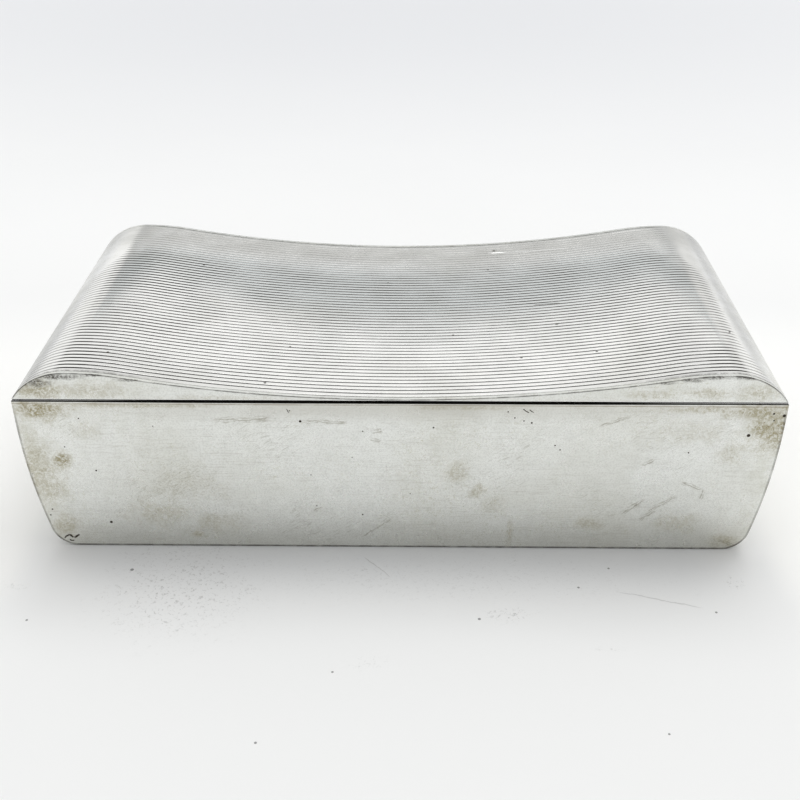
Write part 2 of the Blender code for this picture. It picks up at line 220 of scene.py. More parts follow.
SIDE_STEPS = 28
CORNER_STEPS = 16
SIDE_CENTRE = (HALF_LENGTH - END_RADIUS, RIM_HEIGHT - END_STRAIGHT)
CORNER_REACH = sqrt(
    (END_RADIUS - BASE_CORNER_RADIUS) ** 2 - (SIDE_CENTRE[1] - BASE_CORNER_RADIUS) ** 2
)
CORNER_CENTRE = (SIDE_CENTRE[0] + CORNER_REACH, BASE_CORNER_RADIUS)
TANGENT_ANGLE = -atan2(SIDE_CENTRE[1] - BASE_CORNER_RADIUS, CORNER_REACH)

END_STEPS = 22
SHOULDER_STEPS = 6
DISH_STEPS = 40
END_CENTRE_Z = CREST_Z - LID_END_RADIUS
LAND_RISE = LID_BOTTOM + LID_EDGE_LAND - END_CENTRE_Z
END_START = atan2(LAND_RISE, sqrt(LID_END_RADIUS ** 2 - LAND_RISE ** 2))
CREST_X = LID_CORNER_X - LID_END_RADIUS * cos(END_START)
SHOULDER_CENTRE = (CREST_X, CREST_Z - SHOULDER_RADIUS)
DISH_LOW_Z = RIM_HEIGHT + DISH_RISE
LOW_OVER_SHOULDER = DISH_LOW_Z - SHOULDER_CENTRE[1]
DISH_RADIUS = (
    (CREST_X ** 2 + LOW_OVER_SHOULDER ** 2 - SHOULDER_RADIUS ** 2)
    / (2 * (SHOULDER_RADIUS - LOW_OVER_SHOULDER))
)
DISH_CENTRE = (0, DISH_LOW_Z + DISH_RADIUS)
DISH_ANGLE = atan2(CREST_X, DISH_CENTRE[1] - SHOULDER_CENTRE[1])


def body_path(inset, top=RIM_HEIGHT):
    """Return the body's outline from the right rim down and round to the left rim."""
    side = arc(SIDE_CENTRE, END_RADIUS - inset, 0, TANGENT_ANGLE, SIDE_STEPS)
    corner = arc(
        CORNER_CENTRE, BASE_CORNER_RADIUS - inset, TANGENT_ANGLE, -pi / 2, CORNER_STEPS,
    )
    path = [point for point in side if point[1] < top - inset] + corner[1:]
    rim_x = path[0][0] if top < SIDE_CENTRE[1] else HALF_LENGTH - inset
    return mirrored([(rim_x, top - inset)] + path)


def over_crest(end, depth):
    """Continue an end path over the shoulder and the dish, and mirror it."""
    shoulder = arc(
        SHOULDER_CENTRE, SHOULDER_RADIUS - depth, pi / 2, pi / 2 + DISH_ANGLE, SHOULDER_STEPS,
    )
    dish = arc(
        DISH_CENTRE, DISH_RADIUS + depth, -pi / 2 + DISH_ANGLE, -pi / 2, DISH_STEPS // 2,
    )
    dish[-1] = (0, dish[-1][1])
    return mirrored(end + shoulder[1:] + dish[1:])


def lid_path(depth):
    """Return the lid's outline, right to left, at a depth under its surface."""
    end = arc((CREST_X, END_CENTRE_Z), LID_END_RADIUS - depth, END_START, pi / 2, END_STEPS)
    return over_crest([(end[0][0], LID_BOTTOM)] + end, depth)


def lid_inside_path():
    """Return the underside of the lid's sheet."""
    radius = LID_END_RADIUS - SHEET_THICKNESS
    rise = LID_BOTTOM - END_CENTRE_Z
    start = atan2(rise, sqrt(radius ** 2 - rise ** 2))
    end = arc((CREST_X, END_CENTRE_Z), radius, start, pi / 2, END_STEPS + 1)
    return over_crest(end, SHEET_THICKNESS)


# Material helpers

RAGGED = 0.7
MILLIMETRES = 1000.0


class Nodes:
    """A node tree, with short calls for the kinds of node used here."""

    def __init__(self, tree):
        self.tree = tree

    def link(self, source, target):
        """Link a socket to another, or set it to a value."""
        if hasattr(source, "is_linked"):
            self.tree.links.new(source, target)
        else:
            target.default_value = source

    def add(self, kind, inputs, **settings):
        """Add a node with these settings, and link or set its inputs."""
        node = self.tree.nodes.new(kind)
        for key, value in settings.items():
            setattr(node, key, value)
        for key, value in inputs.items():
            self.link(value, node.inputs[key])
        return node

    def math(self, operation, a, b=0.0, clamp=False):
        """Return the result of a sum on one or two values."""
        node = self.add("ShaderNodeMath", {0: a, 1: b}, operation=operation, use_clamp=clamp)
        return node.outputs[0]

    def product(self, *values):
        """Return the product of several values."""
        return reduce(lambda a, b: self.math("MULTIPLY", a, b), values)

    def largest(self, *values):
        """Return the largest of several values."""
        return reduce(lambda a, b: self.math("MAXIMUM", a, b), values)

    def fade(self, value, low, high, to_low=0.0, to_high=1.0):
        """Return a smooth step of a value between two limits."""
        limits = {"From Min": low, "From Max": high, "To Min": to_low, "To Max": to_high}
        node = self.add(
            "ShaderNodeMapRange", {"Value": value, **limits}, interpolation_type="SMOOTHSTEP",
        )
        return node.outputs["Result"]

    def area(self, *fades):
        """Return the product of several fades: where their values meet all their limits."""
        return self.product(*[self.fade(*limits) for limits in fades])

    def split(self, vector):
        """Return a vector's X, Y and Z."""
        return list(self.add("ShaderNodeSeparateXYZ", {0: vector}).outputs)

    def mix(self, factor, a, b, blend="MIX"):
        """Return the mix of two colours."""
        a, b = [colour if hasattr(colour, "is_linked") else (*colour, 1.0) for colour in (a, b)]
        node = self.add(
            "ShaderNodeMix", {"Factor": factor, 6: a, 7: b}, data_type="RGBA", blend_type=blend,
        )
        return node.outputs[2]

    def over(self, colour, paint, *masks):
        """Return a colour with paint over it, as thick as the product of the masks."""
        return self.mix(self.product(*masks), colour, paint)


class Shade(Nodes):
    """A material's nodes, with textures and marks in the object's coordinates."""

    def __init__(self, name):
        self.material = bpy.data.materials.new(name)
        self.material.use_nodes = True
        super().__init__(self.material.node_tree)
        self.shader = self.tree.nodes["Principled BSDF"]
        coordinates = self.add("ShaderNodeTexCoord", {}).outputs
        self.place, self.facing = coordinates["Object"], coordinates["Normal"]
        self.x, self.y, self.z = self.split(self.place)
        self.bow = self.math("ABSOLUTE", self.x)
        self.raggedness = self.product(self.noise(0.0035, 4.0, 0.65), 2 * RAGGED)

    def attribute(self, name):
        """Return a value that the mesh's vertices hold."""
        return self.add("ShaderNodeAttribute", {}, attribute_name=name).outputs["Fac"]

    def moved(self, offset=(0, 0, 0), scale=(1, 1, 1), turn=(0, 0, 0), vector=None):
        """Return the object's coordinates or another vector, moved, turned and scaled."""
        inputs = {
            "Vector": self.place if vector is None else vector,
            "Location": offset, "Rotation": turn, "Scale": scale,
        }
        return self.add("ShaderNodeMapping", inputs, vector_type="TEXTURE").outputs["Vector"]

    def noise(self, size, detail=3.0, rough=0.5, vector=None, warp=0.0):
        """Return a noise value whose features are about this size in metres."""
        inputs = {
            "Vector": self.place if vector is None else vector, "Scale": 1.0 / size,
            "Detail": detail, "Roughness": rough, "Distortion": warp,
        }
        return self.add("ShaderNodeTexNoise", inputs).outputs["Fac"]

    def patches(self, size, detail, low, high, to_low=0.0, to_high=1.0, rough=0.5, warp=0.0):
        """Return a noise faded between two limits."""
        return self.fade(self.noise(size, detail, rough, warp=warp), low, high, to_low, to_high)

    def specks(self, spacing, radius, share, seed=(0, 0, 0)):
        """Return a mask of small round specks, in this share of the cells."""
        inputs = {"Vector": self.moved(offset=seed), "Scale": 1.0 / spacing}
        cells = self.add("ShaderNodeTexVoronoi", inputs).outputs
        chance = self.add("ShaderNodeSeparateColor", {0: cells["Color"]}).outputs
        chosen = self.math("LESS_THAN", chance[0], share)
        reach = self.product(chance[1], radius / spacing)
        return self.product(chosen, self.math("LESS_THAN", cells["Distance"], reach))

    def plane(self, across, along):
        """Return two of the object's coordinates as a flat vector in millimetres."""
        inputs = {0: self.product(across, MILLIMETRES), 1: self.product(along, MILLIMETRES)}
        return self.add("ShaderNodeCombineXYZ", inputs).outputs[0]

    def warped(self, flat, size, reach):
        """Return a flat vector shifted about by noise, so that marks aren't straight."""
        inputs = {"Vector": flat, "Scale": 1.0 / size, "Detail": 2.0}
        noise = self.add("ShaderNodeTexNoise", inputs).outputs["Color"]
        inputs = {0: noise, 1: (0.5, 0.5, 0.5)}
        centred = self.add("ShaderNodeVectorMath", inputs, operation="SUBTRACT").outputs[0]
        inputs = {0: centred, 1: (reach, reach, 0), 2: flat}
        return self.add("ShaderNodeVectorMath", inputs, operation="MULTIPLY_ADD").outputs[0]

    def pit(self, flat, x, y, radius):
        """Return a mask of one round pit on a flat vector."""
        node = self.add("ShaderNodeVectorMath", {0: flat, 1: (x, y, 0)}, operation="DISTANCE")
        return self.fade(node.outputs["Value"], 1.15 * radius, 0.8 * radius)

    def stroke(self, flat, x, y, end_x, end_y, width, broken=False):
        """Return a mask of one scratch on a flat vector, solid or broken into fine lines."""
        middle = ((x + end_x) / 2, (y + end_y) / 2, 0)
        turn = (0, 0, atan2(end_y - y, end_x - x))
        length = hypot(end_x - x, end_y - y)
        local = self.moved(middle, turn=turn, vector=flat)
        along, across = [self.math("ABSOLUTE", part) for part in self.split(local)[:2]]
        mask = self.area((across, width, width * 0.4), (along, length / 2, length / 3))
        if broken:
            lines = self.noise(1.0, 3.0, 0.6, self.moved(scale=BROKEN_LINES, vector=local))
            mask = self.product(mask, self.fade(lines, 0.44, 0.58))
        return mask

    def bundle(self, flat, x, y, end_x, end_y, width):
        """Return a mask of a bundle of fine broken scratches."""
        return self.stroke(flat, x, y, end_x, end_y, BROKEN_SPREAD * width, broken=True)

    def stain(self, flat, x, y, reach_x, reach_y, strength):
        """Return a mask of one ragged stain: its strength in its middle, 0 past its reach."""
        local = self.moved((x, y, 0), (reach_x, reach_y, 1), vector=flat)
        away = self.add("ShaderNodeVectorMath", {0: local}, operation="LENGTH").outputs["Value"]
        value = self.math("ADD", away, self.raggedness)
        return self.fade(value, 1.0 + RAGGED, 0.1 + RAGGED, 0.0, strength)

    def masks(self, method, flat, marks):
        """Return the largest of a list of marks, all made by one of these methods."""
        return self.largest(*[method(flat, *mark) for mark in marks])

    def speckled(self, mask, size=0.0008):
        """Break a stain up into fine scales."""
        return self.product(mask, self.patches(size, 4.0, 0.38, 0.6, 0.25, 1.0, 0.65, 1.0))

    def bump(self, height, strength, distance, normal=None):
        """Return the normal of a bumpy surface, over another normal if one is given."""
        inputs = {"Strength": strength, "Distance": distance, "Height": height}
        if normal is not None:
            inputs["Normal"] = normal
        return self.add("ShaderNodeBump", inputs).outputs["Normal"]

    def finish(self, colour, roughness, normal=None, metallic=0.0):
        """Set the shader's inputs and return the material."""
        self.link(colour, self.shader.inputs["Base Color"])
        self.link(roughness, self.shader.inputs["Roughness"])
        self.shader.inputs["Metallic"].default_value = metallic
        if normal is not None:
            self.link(normal, self.shader.inputs["Normal"])
        return self.material


# Colours of the silver, bright to stained
CLEAN = (0.85, 0.862, 0.832)
WORN = (0.735, 0.745, 0.712)
BRUSHED = (0.6, 0.59, 0.55)
GRAIN = (0.54, 0.54, 0.51)
SCUFF = (0.42, 0.41, 0.36)
TARNISH = (0.56, 0.55, 0.44)
STAIN = (0.4, 0.362, 0.238)
BROWN = (0.26, 0.21, 0.15)
# Soot in the grooves, and painted shade in the gap under the lid
SOOT_AND_GAP_SHADE = (0.03, 0.028, 0.025)

# Colours of the plates' marks and dirt, and of the shade and highlight painted on them
# Grime with painted shade, darkest at the foot
FOOT_GRIME_AND_SHADE = (0.5, 0.48, 0.41)
# Painted shade under the rim
UNDER_RIM_SHADE = (0.57, 0.56, 0.51)
ETCHED = (0.36, 0.355, 0.3)
SCRATCHED = (0.3, 0.28, 0.22)
# Dark pits, scratches and dirt, and painted shade under the lid's humps
DARK_MARKS_AND_SHADE = (0.055, 0.045, 0.035)
# Painted highlight on the lid's lip
PAINTED_LIP_HIGHLIGHT = (0.99, 0.99, 0.98)
RIM_LINE = (0.3, 0.26, 0.19)
# Dirt along the rounded edges, with a painted contact shadow at the foot
EDGE_DIRT_AND_SHADE = (0.05, 0.045, 0.04)

# Colours of the reeded lid
CROWN = (0.98, 0.98, 0.965)
DULL_REAR = (0.63, 0.63, 0.605)
GROOVE_DIRT = (0.095, 0.09, 0.085)
# Painted shade down the end arcs
ARC_BAND_SHADE = (0.38, 0.38, 0.365)
VERGE_DIRT = (0.15, 0.145, 0.13)
# Painted glint
GLINT = (1.0, 1.0, 0.99)
LID_PITTED = (0.06, 0.055, 0.045)

# Colours of the hinge and the lining
TUBE_SILVER = (0.74, 0.735, 0.7)
TUBE_DIRT = (0.1, 0.09, 0.07)
STEEL_PALE = (0.5, 0.48, 0.45)
STEEL_DARK = (0.3, 0.27, 0.22)
CEDAR_PALE = (0.52, 0.27, 0.135)
CEDAR_DARK = (0.33, 0.145, 0.07)
CEDAR_PORES = (0.17, 0.075, 0.04)
CEDAR_TONE = (0.6, 0.36, 0.2)

# Marks of age on the front face, in millimetres. A pit has its x and z and its radius, a
# scratch both its ends and its width, and a stain its middle, its reach and its strength.
FRONT_PITS = (
    (-73, 36.5, 0.16), (-77.4, 28.7, 0.17), (-71, 22.1, 0.22), (-83.2, 10.8, 0.22),
    (-83.9, 9.1, 0.2), (-69.5, 7.1, 0.36), (-24.6, 38.8, 0.16), (-22.3, 36, 0.32),
    (-8.1, 33.4, 0.17), (8.1, 34.5, 0.22), (-19.5, 12.3, 0.16), (-8.6, 9.8, 0.19),
    (24.9, 38.8, 0.17), (26.5, 37.2, 0.18), (28.6, 36.4, 0.17), (30.4, 35.9, 0.23),
    (36.1, 29.8, 0.19), (37.3, 28.6, 0.18), (79.9, 32.8, 0.42), (87.1, 38.1, 0.4),
    (84.7, 38.6, 0.26), (85, 36.8, 0.2), (66.9, 28, 0.19), (-20.5, 21.2, 0.14), (-10.7, 26.2, 0.13),
    (2.8, 16, 0.14), (-56.2, 34.5, 0.14),
)
FRONT_GOUGES = (
    (28.2, 39.6, 29.6, 38.6, 0.18), (29.6, 39.4, 30.9, 38.5, 0.16), (-81.6, 2.1, -80.2, 3.4, 0.3),
    (-80.4, 3.3, -79.3, 2.4, 0.3), (-79.4, 2.4, -77.7, 3.4, 0.28), (-80.6, 1.6, -79.2, 1.5, 0.24),
    (-25.4, 39.4, -24.7, 38.3, 0.15),
)
FRONT_SCRATCHES = (
    (-9.2, 2.8, -1.4, 9, 0.13), (53, 10, 58.6, 15.3, 0.34), (59.2, 11, 65.8, 16, 0.34),
    (57.5, 8.5, 61.2, 11.8, 0.28), (66, 19.8, 71.8, 17.4, 0.3), (71.8, 17.8, 71.2, 14.6, 0.28),
    (45.5, 34.9, 53, 37.9, 0.26), (56.5, 24.3, 59.5, 26.3, 0.26), (-43, 35.9, -28, 36.7, 0.4),
    (-22.3, 36, -11, 35.8, 0.34), (77, 3, 82, 0.6, 0.3), (-18, 12, -20.5, 10.8, 0.22),
    (-6, 33, -3.5, 33.8, 0.34), (-6.5, 31.2, -4, 30.6, 0.3),
)
FRONT_STAINS = (
    (-82.2, 38.6, 10.5, 4, 1), (-78.5, 25.2, 3.6, 3.6, 0.95), (-84.5, 21, 8.5, 15, 0.6),
    (-80.5, 6, 4.5, 5.5, 0.6), (-57.5, 10, 12, 6, 0.45), (-44, 7, 9, 4.5, 0.4),
    (14, 22, 4.2, 4.2, 0.5), (18.6, 16.8, 3, 2.8, 0.6), (22.5, 13, 5, 4, 0.3),
    (85, 34.5, 8.5, 9, 0.95), (81, 39.2, 13, 3, 0.9), (45.7, 7.4, 4.8, 3.2, 0.45),
    (66.4, 7.5, 8.5, 4.5, 0.35), (68, 33.5, 12, 4.5, 0.3), (76.5, 27.5, 4.5, 5.5, 0.4),
    (79, 2.6, 5.5, 2.6, 0.7), (26.8, 4.5, 1.2, 6.2, 0.5), (-48.5, 3.6, 2.6, 1.4, 0.7),
    (-60, 40, 28, 1, 0.55), (-50, 17.5, 14, 8.5, 0.26), (70, 39.6, 18, 1.4, 0.6),
    (15, 39.8, 16, 1, 0.45), (-72, 33, 6, 5, 0.25),
)
FRONT_ETCHES = (
    (-51, 19, 17, 10, 0.9), (-43, 10, 15, 6, 0.8), (-74, 33, 7, 5, 0.6), (56, 14, 16, 8, 0.55),
    (15, 20.5, 6.5, 6.5, 0.9), (-20, 12, 10, 5, 0.5),
)

# Marks on the lid's reeds: x and y
LID_PITS = (
    (-54.4, 20.8, 0.34), (-3.8, 18.2, 0.36), (39.1, -10.5, 0.48), (29.1, -26.5, 0.34),
    (46.8, -26.7, 0.3), (13.2, -13.1, 0.26), (-26.6, -21, 0.26), (-30.5, -39.3, 0.34),
    (26.3, 38.5, 0.5), (23.9, 25.4, 0.28), (-67.3, -33.6, 0.3),
)
LID_SMEARS = (
    (-35, -0.7, -31.5, -0.7, 0.2), (34, 1.4, 41.5, 1.1, 0.22), (78.5, -22.6, 79.2, -21, 0.3),
    (73.8, -44.8, 76.5, -44.9, 0.45),
)
# A painted glint, drawn as a stroke
LID_GLINTS = (
    (24, 37.2, 48, 35.8, 0.3),
)

# Marks on the lid's front wall, x and z: stains, then dark dirt with painted shade under the humps'
# edge
WALL_STAINS = (
    (-80.5, 44, 8, 4.6, 0.8), (-69, 44, 15, 3.6, 0.45), (80, 44, 7, 3.6, 0.5),
    (56, 43.2, 6.5, 1.4, 0.5), (70, 43.8, 8, 2.2, 0.5), (-40, 42, 20, 1.2, 0.3),
)
# Dark dirt with painted shade under the humps' edge
WALL_GRIME_AND_SHADE = (
    (-81.2, 46, 6, 1.6, 0.9), (-76.2, 47.4, 7.5, 1.2, 1), (-67, 47.8, 6, 0.6, 0.9),
    (-60, 46.6, 4, 0.5, 0.8), (77, 48, 4.5, 0.9, 0.9), (70.5, 47.9, 5, 0.8, 0.9),
    (65, 47.2, 4, 0.7, 0.9), (60, 46.4, 4, 0.5, 0.8),
)

# A broken scratch: how its lines are drawn out, and how much wider it is
BROKEN_LINES = (3.0, 0.3, 1)
BROKEN_SPREAD = 2.6


def wear_bump(shade, amount=1.0):
    """Return a normal with fine scratches in several directions and a slight waviness."""
    height = None
    for turn, stretch in ((0.35, 0.02), (1.25, 0.014), (2.3, 0.024), (2.9, 0.012)):
        local = shade.moved(scale=(stretch, stretch, 0.00035), turn=(0, turn, 0))
        line = shade.fade(shade.noise(1.0, 2.0, vector=local), 0.64, 0.72)
        height = line if height is None else shade.math("ADD", height, line)
    fine = shade.bump(height, 0.25 * amount, 0.00002)
    return shade.bump(shade.noise(0.03, 2.0), 0.35 * amount, 0.0004, fine)


def worn_colour(shade):
    """Return the clouded colour of plain worn silver, and its stained share."""
    mottle = shade.patches(0.003, 5.0, 0.35, 0.75, rough=0.7)
    colour = shade.over(CLEAN, WORN, mottle, 0.55)

    # Long brushed lines in patches, over a fine grain
    brushed = shade.noise(1.0, 4.0, 0.65, shade.moved(scale=(0.006, 0.006, 0.00035)))
    where = shade.patches(0.02, 3.0, 0.4, 0.62, 0.35, 1.0)
    colour = shade.over(colour, BRUSHED, shade.fade(brushed, 0.5, 0.72), where, 0.6)
    colour = shade.over(colour, GRAIN, shade.patches(0.00042, 2.0, 0.42, 0.7), 0.36)

    # Flaking tarnish and slanting scuffs, each in patches of its own
    peel = shade.patches(0.0009, 3.0, 0.56, 0.66, rough=0.6, warp=2.0)
    where = shade.patches(0.018, 3.0, 0.46, 0.62, rough=0.6)
    colour = shade.over(colour, TARNISH, peel, where, 0.55)
    slanting = shade.moved(scale=(0.0028, 0.0028, 0.0003), turn=(0, -0.55, 0))
    scuff = shade.fade(shade.noise(1.0, 3.0, 0.6, slanting), 0.56, 0.66)
    elsewhere = shade.moved(offset=(0.2, 0.1, 0))
    where = shade.fade(shade.noise(0.013, 2.0, vector=elsewhere), 0.5, 0.66)
    colour = shade.over(colour, SCUFF, scuff, where, 0.5)

    # Stain near the ends and in wide clouds
    cloud = shade.patches(0.035, 4.0, 0.45, 0.75, rough=0.6, warp=0.6)
    side = shade.fade(shade.bow, HALF_LENGTH - 0.014, HALF_LENGTH - 0.002)
    side = shade.product(side, shade.patches(0.006, 5.0, 0.3, 0.7, rough=0.7), 0.35)
    stain = shade.largest(side, shade.product(cloud, 0.2))
    return shade.mix(stain, colour, TARNISH), stain


def parting_line(shade, colour, front):
    """Add painted shade between lid and box, a painted highlight on the lid's lip over it and a
    line under it.
    """
    z = shade.z

    # The painted shade reaches past the gap in the middle, and keeps to it towards the ends
    past = shade.area((shade.x, 0.03, 0.082, 0.00016, 0.0), (shade.x, -0.084, -0.04, 0.25, 1.0))
    over = shade.math("SUBTRACT", z, past)
    gap = shade.area(
        (shade.math("ADD", z, past), RIM_HEIGHT - 0.00003, RIM_HEIGHT),
        (over, LID_BOTTOM - 0.00003, LID_BOTTOM + 0.00002, 1.0, 0.0),
    )
    # A painted highlight along the lid's lip
    lip = shade.area(
        (z, LID_BOTTOM + 0.00046, LID_BOTTOM + 0.00036),
        (over, LID_BOTTOM + 0.00002, LID_BOTTOM + 0.00005),
    )
    away = shade.math("ABSOLUTE", shade.math("SUBTRACT", z, RIM_HEIGHT - RIM_LINE_DROP))
    line = shade.fade(away, 0.0002, 0.00006)
    colour = shade.mix(gap, colour, SOOT_AND_GAP_SHADE)
    colour = shade.over(colour, PAINTED_LIP_HIGHLIGHT, lip, front)
    return shade.over(colour, RIM_LINE, line, shade.patches(0.006, 4.0, 0.35, 0.6, 0.35, 0.7))


def sheet_silver(
    name, dirty_shaded_edge, pits=(), gouges=(), scratches=(), stains=(), grime_and_shade=(), etches=(),
):
    """Worn plain silver, for the plates, the band and the lid's walls."""
    shade = Shade(name)
    front = shade.fade(shade.y, FRONT_FACE + 0.0004, FRONT_FACE + 0.0002)
    flat = shade.plane(shade.x, shade.z)
    bent = shade.warped(flat, 1.6, 0.9)

    # Grime and painted shade that rise from the foot
    colour, stained = worn_colour(shade)
    patchy = shade.patches(0.03, 3.0, 0.2, 0.75, 0.5, 1.0)
    colour = shade.over(colour, FOOT_GRIME_AND_SHADE, shade.fade(shade.z, 0.014, 0.0), patchy, 0.4)
    if etches:
        # Painted shade under the rim, strongest in the middle, and dull etched patches
        brow = shade.fade(shade.z, RIM_HEIGHT - 0.0062, RIM_HEIGHT - 0.0014)
        patchy = shade.patches(0.012, 4.0, 0.3, 0.6, 0.55, 1.0)
        middle = shade.fade(shade.bow, 0.06, 0.015, 0.34, 0.62)
        colour = shade.over(colour, UNDER_RIM_SHADE, brow, patchy, middle)
        etch = shade.patches(0.0007, 2.0, 0.555, 0.625, rough=0.6, warp=1.6)
        colour = shade.over(colour, ETCHED, etch, shade.masks(shade.stain, flat, etches), 0.42)
    if stains:
        mask = shade.product(shade.speckled(shade.masks(shade.stain, flat, stains)), front)
        colour = shade.mix(mask, colour, STAIN)
        fleck = shade.patches(0.0005, 3.0, 0.56, 0.64, rough=0.6)
        colour = shade.over(colour, BROWN, mask, fleck, 0.7)
        stained = shade.largest(stained, mask)
    if scratches:
        mask = shade.masks(shade.bundle, bent, scratches)
        colour = shade.over(colour, SCRATCHED, mask, front, 0.62)

    # Dark marks: a few specks everywhere, the others on the front face alone, with painted shade
    # under the humps' edge on the lid's wall
    dark = shade.specks(0.01, 0.00022, 0.22, (0.003, 0.001, 0.002))
    for method, vector, marks in ((shade.pit, flat, pits), (shade.stroke, bent, gouges)):
        if marks:
            mask = shade.masks(method, vector, marks)
            dark = shade.largest(dark, shade.product(mask, front))
    # Dark dirt with painted shade under the humps' edge
    if grime_and_shade:
        mask = shade.speckled(shade.masks(shade.stain, bent, grime_and_shade), 0.0006)
        dark = shade.largest(dark, shade.product(mask, front))
    colour = shade.mix(dark, colour, DARK_MARKS_AND_SHADE)
    colour = parting_line(shade, colour, front)

    # Dirt along the rounded edges, with a painted contact shadow along the foot
    patchy = shade.patches(0.003, 3.0, 0.3, 0.6, 0.6, 1.0)
    colour = shade.over(colour, EDGE_DIRT_AND_SHADE, shade.attribute("edge"), dirty_shaded_edge, patchy)
    rough = shade.patches(0.01, 4.0, 0.3, 0.7, 0.2, 0.32, rough=0.6)
    rough = shade.math("ADD", rough, shade.product(shade.largest(stained, dark), 0.3))
    return shade.finish(colour, rough, wear_bump(shade), metallic=1.0)


def reed_dirt(shade, groove):
    """Return the mask of the dirt in the reeds' grooves, and its colour."""
    x, y, bow = shade.x, shade.y, shade.bow
    patchy = shade.patches(0.012, 3.0, 0.25, 0.7, 0.74, 0.94)
    dirt = shade.product(shade.fade(groove, 0.005, 0.07), patchy)

    # Fainter in the middle of the front and towards the back, faintest over the end arcs
    middle = shade.area((y, 0.0, -0.02), (bow, 0.06, 0.04))
    dirt = shade.math("MULTIPLY", dirt, shade.fade(middle, 0.0, 1.0, 1.06, 0.93), True)
    ends = shade.area((x, 0.0765, 0.0795), (y, -0.022, -0.034))
    ends = shade.largest(ends, shade.fade(x, -0.0755, -0.079))
    faint = shade.area((y, 0.02, 0.033, 1.0, 0.76), (ends, 0.0, 1.0, 1.0, 0.52))

    # Black on the front of the humps' crests, and in a lane over each hump further back
    crest = shade.area((y, -0.015, -0.035), (bow, 0.068, 0.074), (bow, 0.079, 0.076))
    lane = shade.area((y, -0.004, 0.006), (y, 0.03, 0.018))
    hump = shade.area((bow, 0.048, 0.062), (bow, 0.078, 0.073), (x, 0.03, -0.03, 0.35, 1.0))
    black = shade.largest(
        shade.product(lane, hump), shade.product(crest, shade.fade(y, -0.026, -0.037)),
    )
    dirt = shade.product(dirt, faint)
    dirt = shade.math("MULTIPLY", dirt, shade.fade(black, 0.0, 1.0, 1.0, 1.28), True)
    return dirt, shade.mix(shade.largest(crest, lane), GROOVE_DIRT, SOOT_AND_GAP_SHADE)


def reeded_silver(name):
    """Reeded silver: bright worn crowns, dirt and tarnish down in the grooves."""
    shade = Shade(name)
    x, y, bow = shade.x, shade.y, shade.bow
    groove = shade.attribute("groove")

    # Clouded crowns, stained at the sides and dull at the back
    mottle = shade.patches(0.004, 4.0, 0.35, 0.75, rough=0.65)
    colour = shade.over(CROWN, WORN, mottle, 0.2)
    cloud = shade.patches(0.03, 4.0, 0.45, 0.75, rough=0.6, warp=0.5)
    patchy = shade.patches(0.006, 4.0, 0.3, 0.7, rough=0.6)
    side = shade.product(shade.fade(bow, HALF_LENGTH - 0.01, HALF_LENGTH), patchy)
    stain = shade.largest(side, shade.product(cloud, 0.3))
    colour = shade.over(colour, TARNISH, stain, 0.5)
    patchy = shade.patches(0.008, 4.0, 0.25, 0.65, 0.6, 1.0, rough=0.6)
    rear = shade.product(shade.fade(y, 0.025, 0.037), patchy)
    colour = shade.over(colour, DULL_REAR, rear, 0.8)

    # Scuffs where the ends are worn smooth
    ends = shade.area((groove, 0.0, 0.02, 1.0, 0.0), (bow, CREST_X, LID_CORNER_X))
    scuffs = shade.patches(0.0016, 4.0, 0.5, 0.66, rough=0.7)
    colour = shade.over(colour, TARNISH, ends, scuffs, 0.4)
    dirt, dirt_colour = reed_dirt(shade, groove)
    colour = shade.mix(dirt, colour, dirt_colour)

    # Painted shade in grey bands down the end arcs, and a dirty verge along the front crests
    band = shade.largest(
        shade.area((x, -0.0806, -0.084), (y, -0.03, 0.025, 0.84, 0.3)),
        shade.area((x, 0.0795, 0.0828), (y, -0.036, -0.022, 0.2, 0.5)),
        shade.area((x, 0.074, 0.079), (y, -0.015, 0.01, 0.0, 0.24)),
    )
    colour = shade.over(colour, ARC_BAND_SHADE, band, shade.patches(0.004, 3.0, 0.2, 0.6, 0.7, 1.0))
    verge = shade.area((y, -0.042, -0.0434), (bow, 0.045, 0.066))
    patchy = shade.patches(0.0012, 4.0, 0.35, 0.6, 0.25, 0.75, rough=0.65)
    colour = shade.over(colour, VERGE_DIRT, verge, patchy)

    # Single marks: a painted glint, and dark ones on the outside of the sheet only
    flat = shade.plane(x, y)
    colour = shade.mix(shade.masks(shade.stroke, flat, LID_GLINTS), colour, GLINT)
    marks = shade.largest(
        shade.masks(shade.pit, flat, LID_PITS), shade.masks(shade.stroke, flat, LID_SMEARS),
    )
    outside = shade.area(
        (shade.split(shade.facing)[2], 0.0, 0.2),
        (shade.z, LID_BOTTOM + 0.0002, LID_BOTTOM + 0.0004),
    )
    colour = shade.over(colour, LID_PITTED, marks, outside, 0.85)
    rough = shade.patches(0.012, 4.0, 0.3, 0.7, 0.07, 0.12, rough=0.6)
    rough = shade.math("ADD", rough, shade.product(shade.largest(ends, rear), 0.18))
    rough = shade.math("ADD", rough, shade.product(dirt, 0.2))
    return shade.finish(colour, rough, wear_bump(shade, 0.4), metallic=1.0)


def tube_silver(name):
    """Drawn silver tube, satin, with dirt at the joints between knuckles."""
    shade = Shade(name)
    mottle = shade.patches(0.003, 4.0, 0.35, 0.75, rough=0.65)
    colour = shade.over(TUBE_SILVER, TARNISH, mottle, 0.5)
    patchy = shade.patches(0.0012, 3.0, 0.3, 0.6, 0.5, 1.0)
    colour = shade.over(colour, TUBE_DIRT, shade.attribute("edge"), patchy, 0.8)
    lines = shade.noise(1.0, 2.0, vector=shade.moved(scale=(0.02, 0.0002, 0.0002)))
    rough = shade.patches(0.004, 3.0, 0.3, 0.7, 0.28, 0.42)
    return shade.finish(colour, rough, shade.bump(lines, 0.3, 0.00002), metallic=1.0)


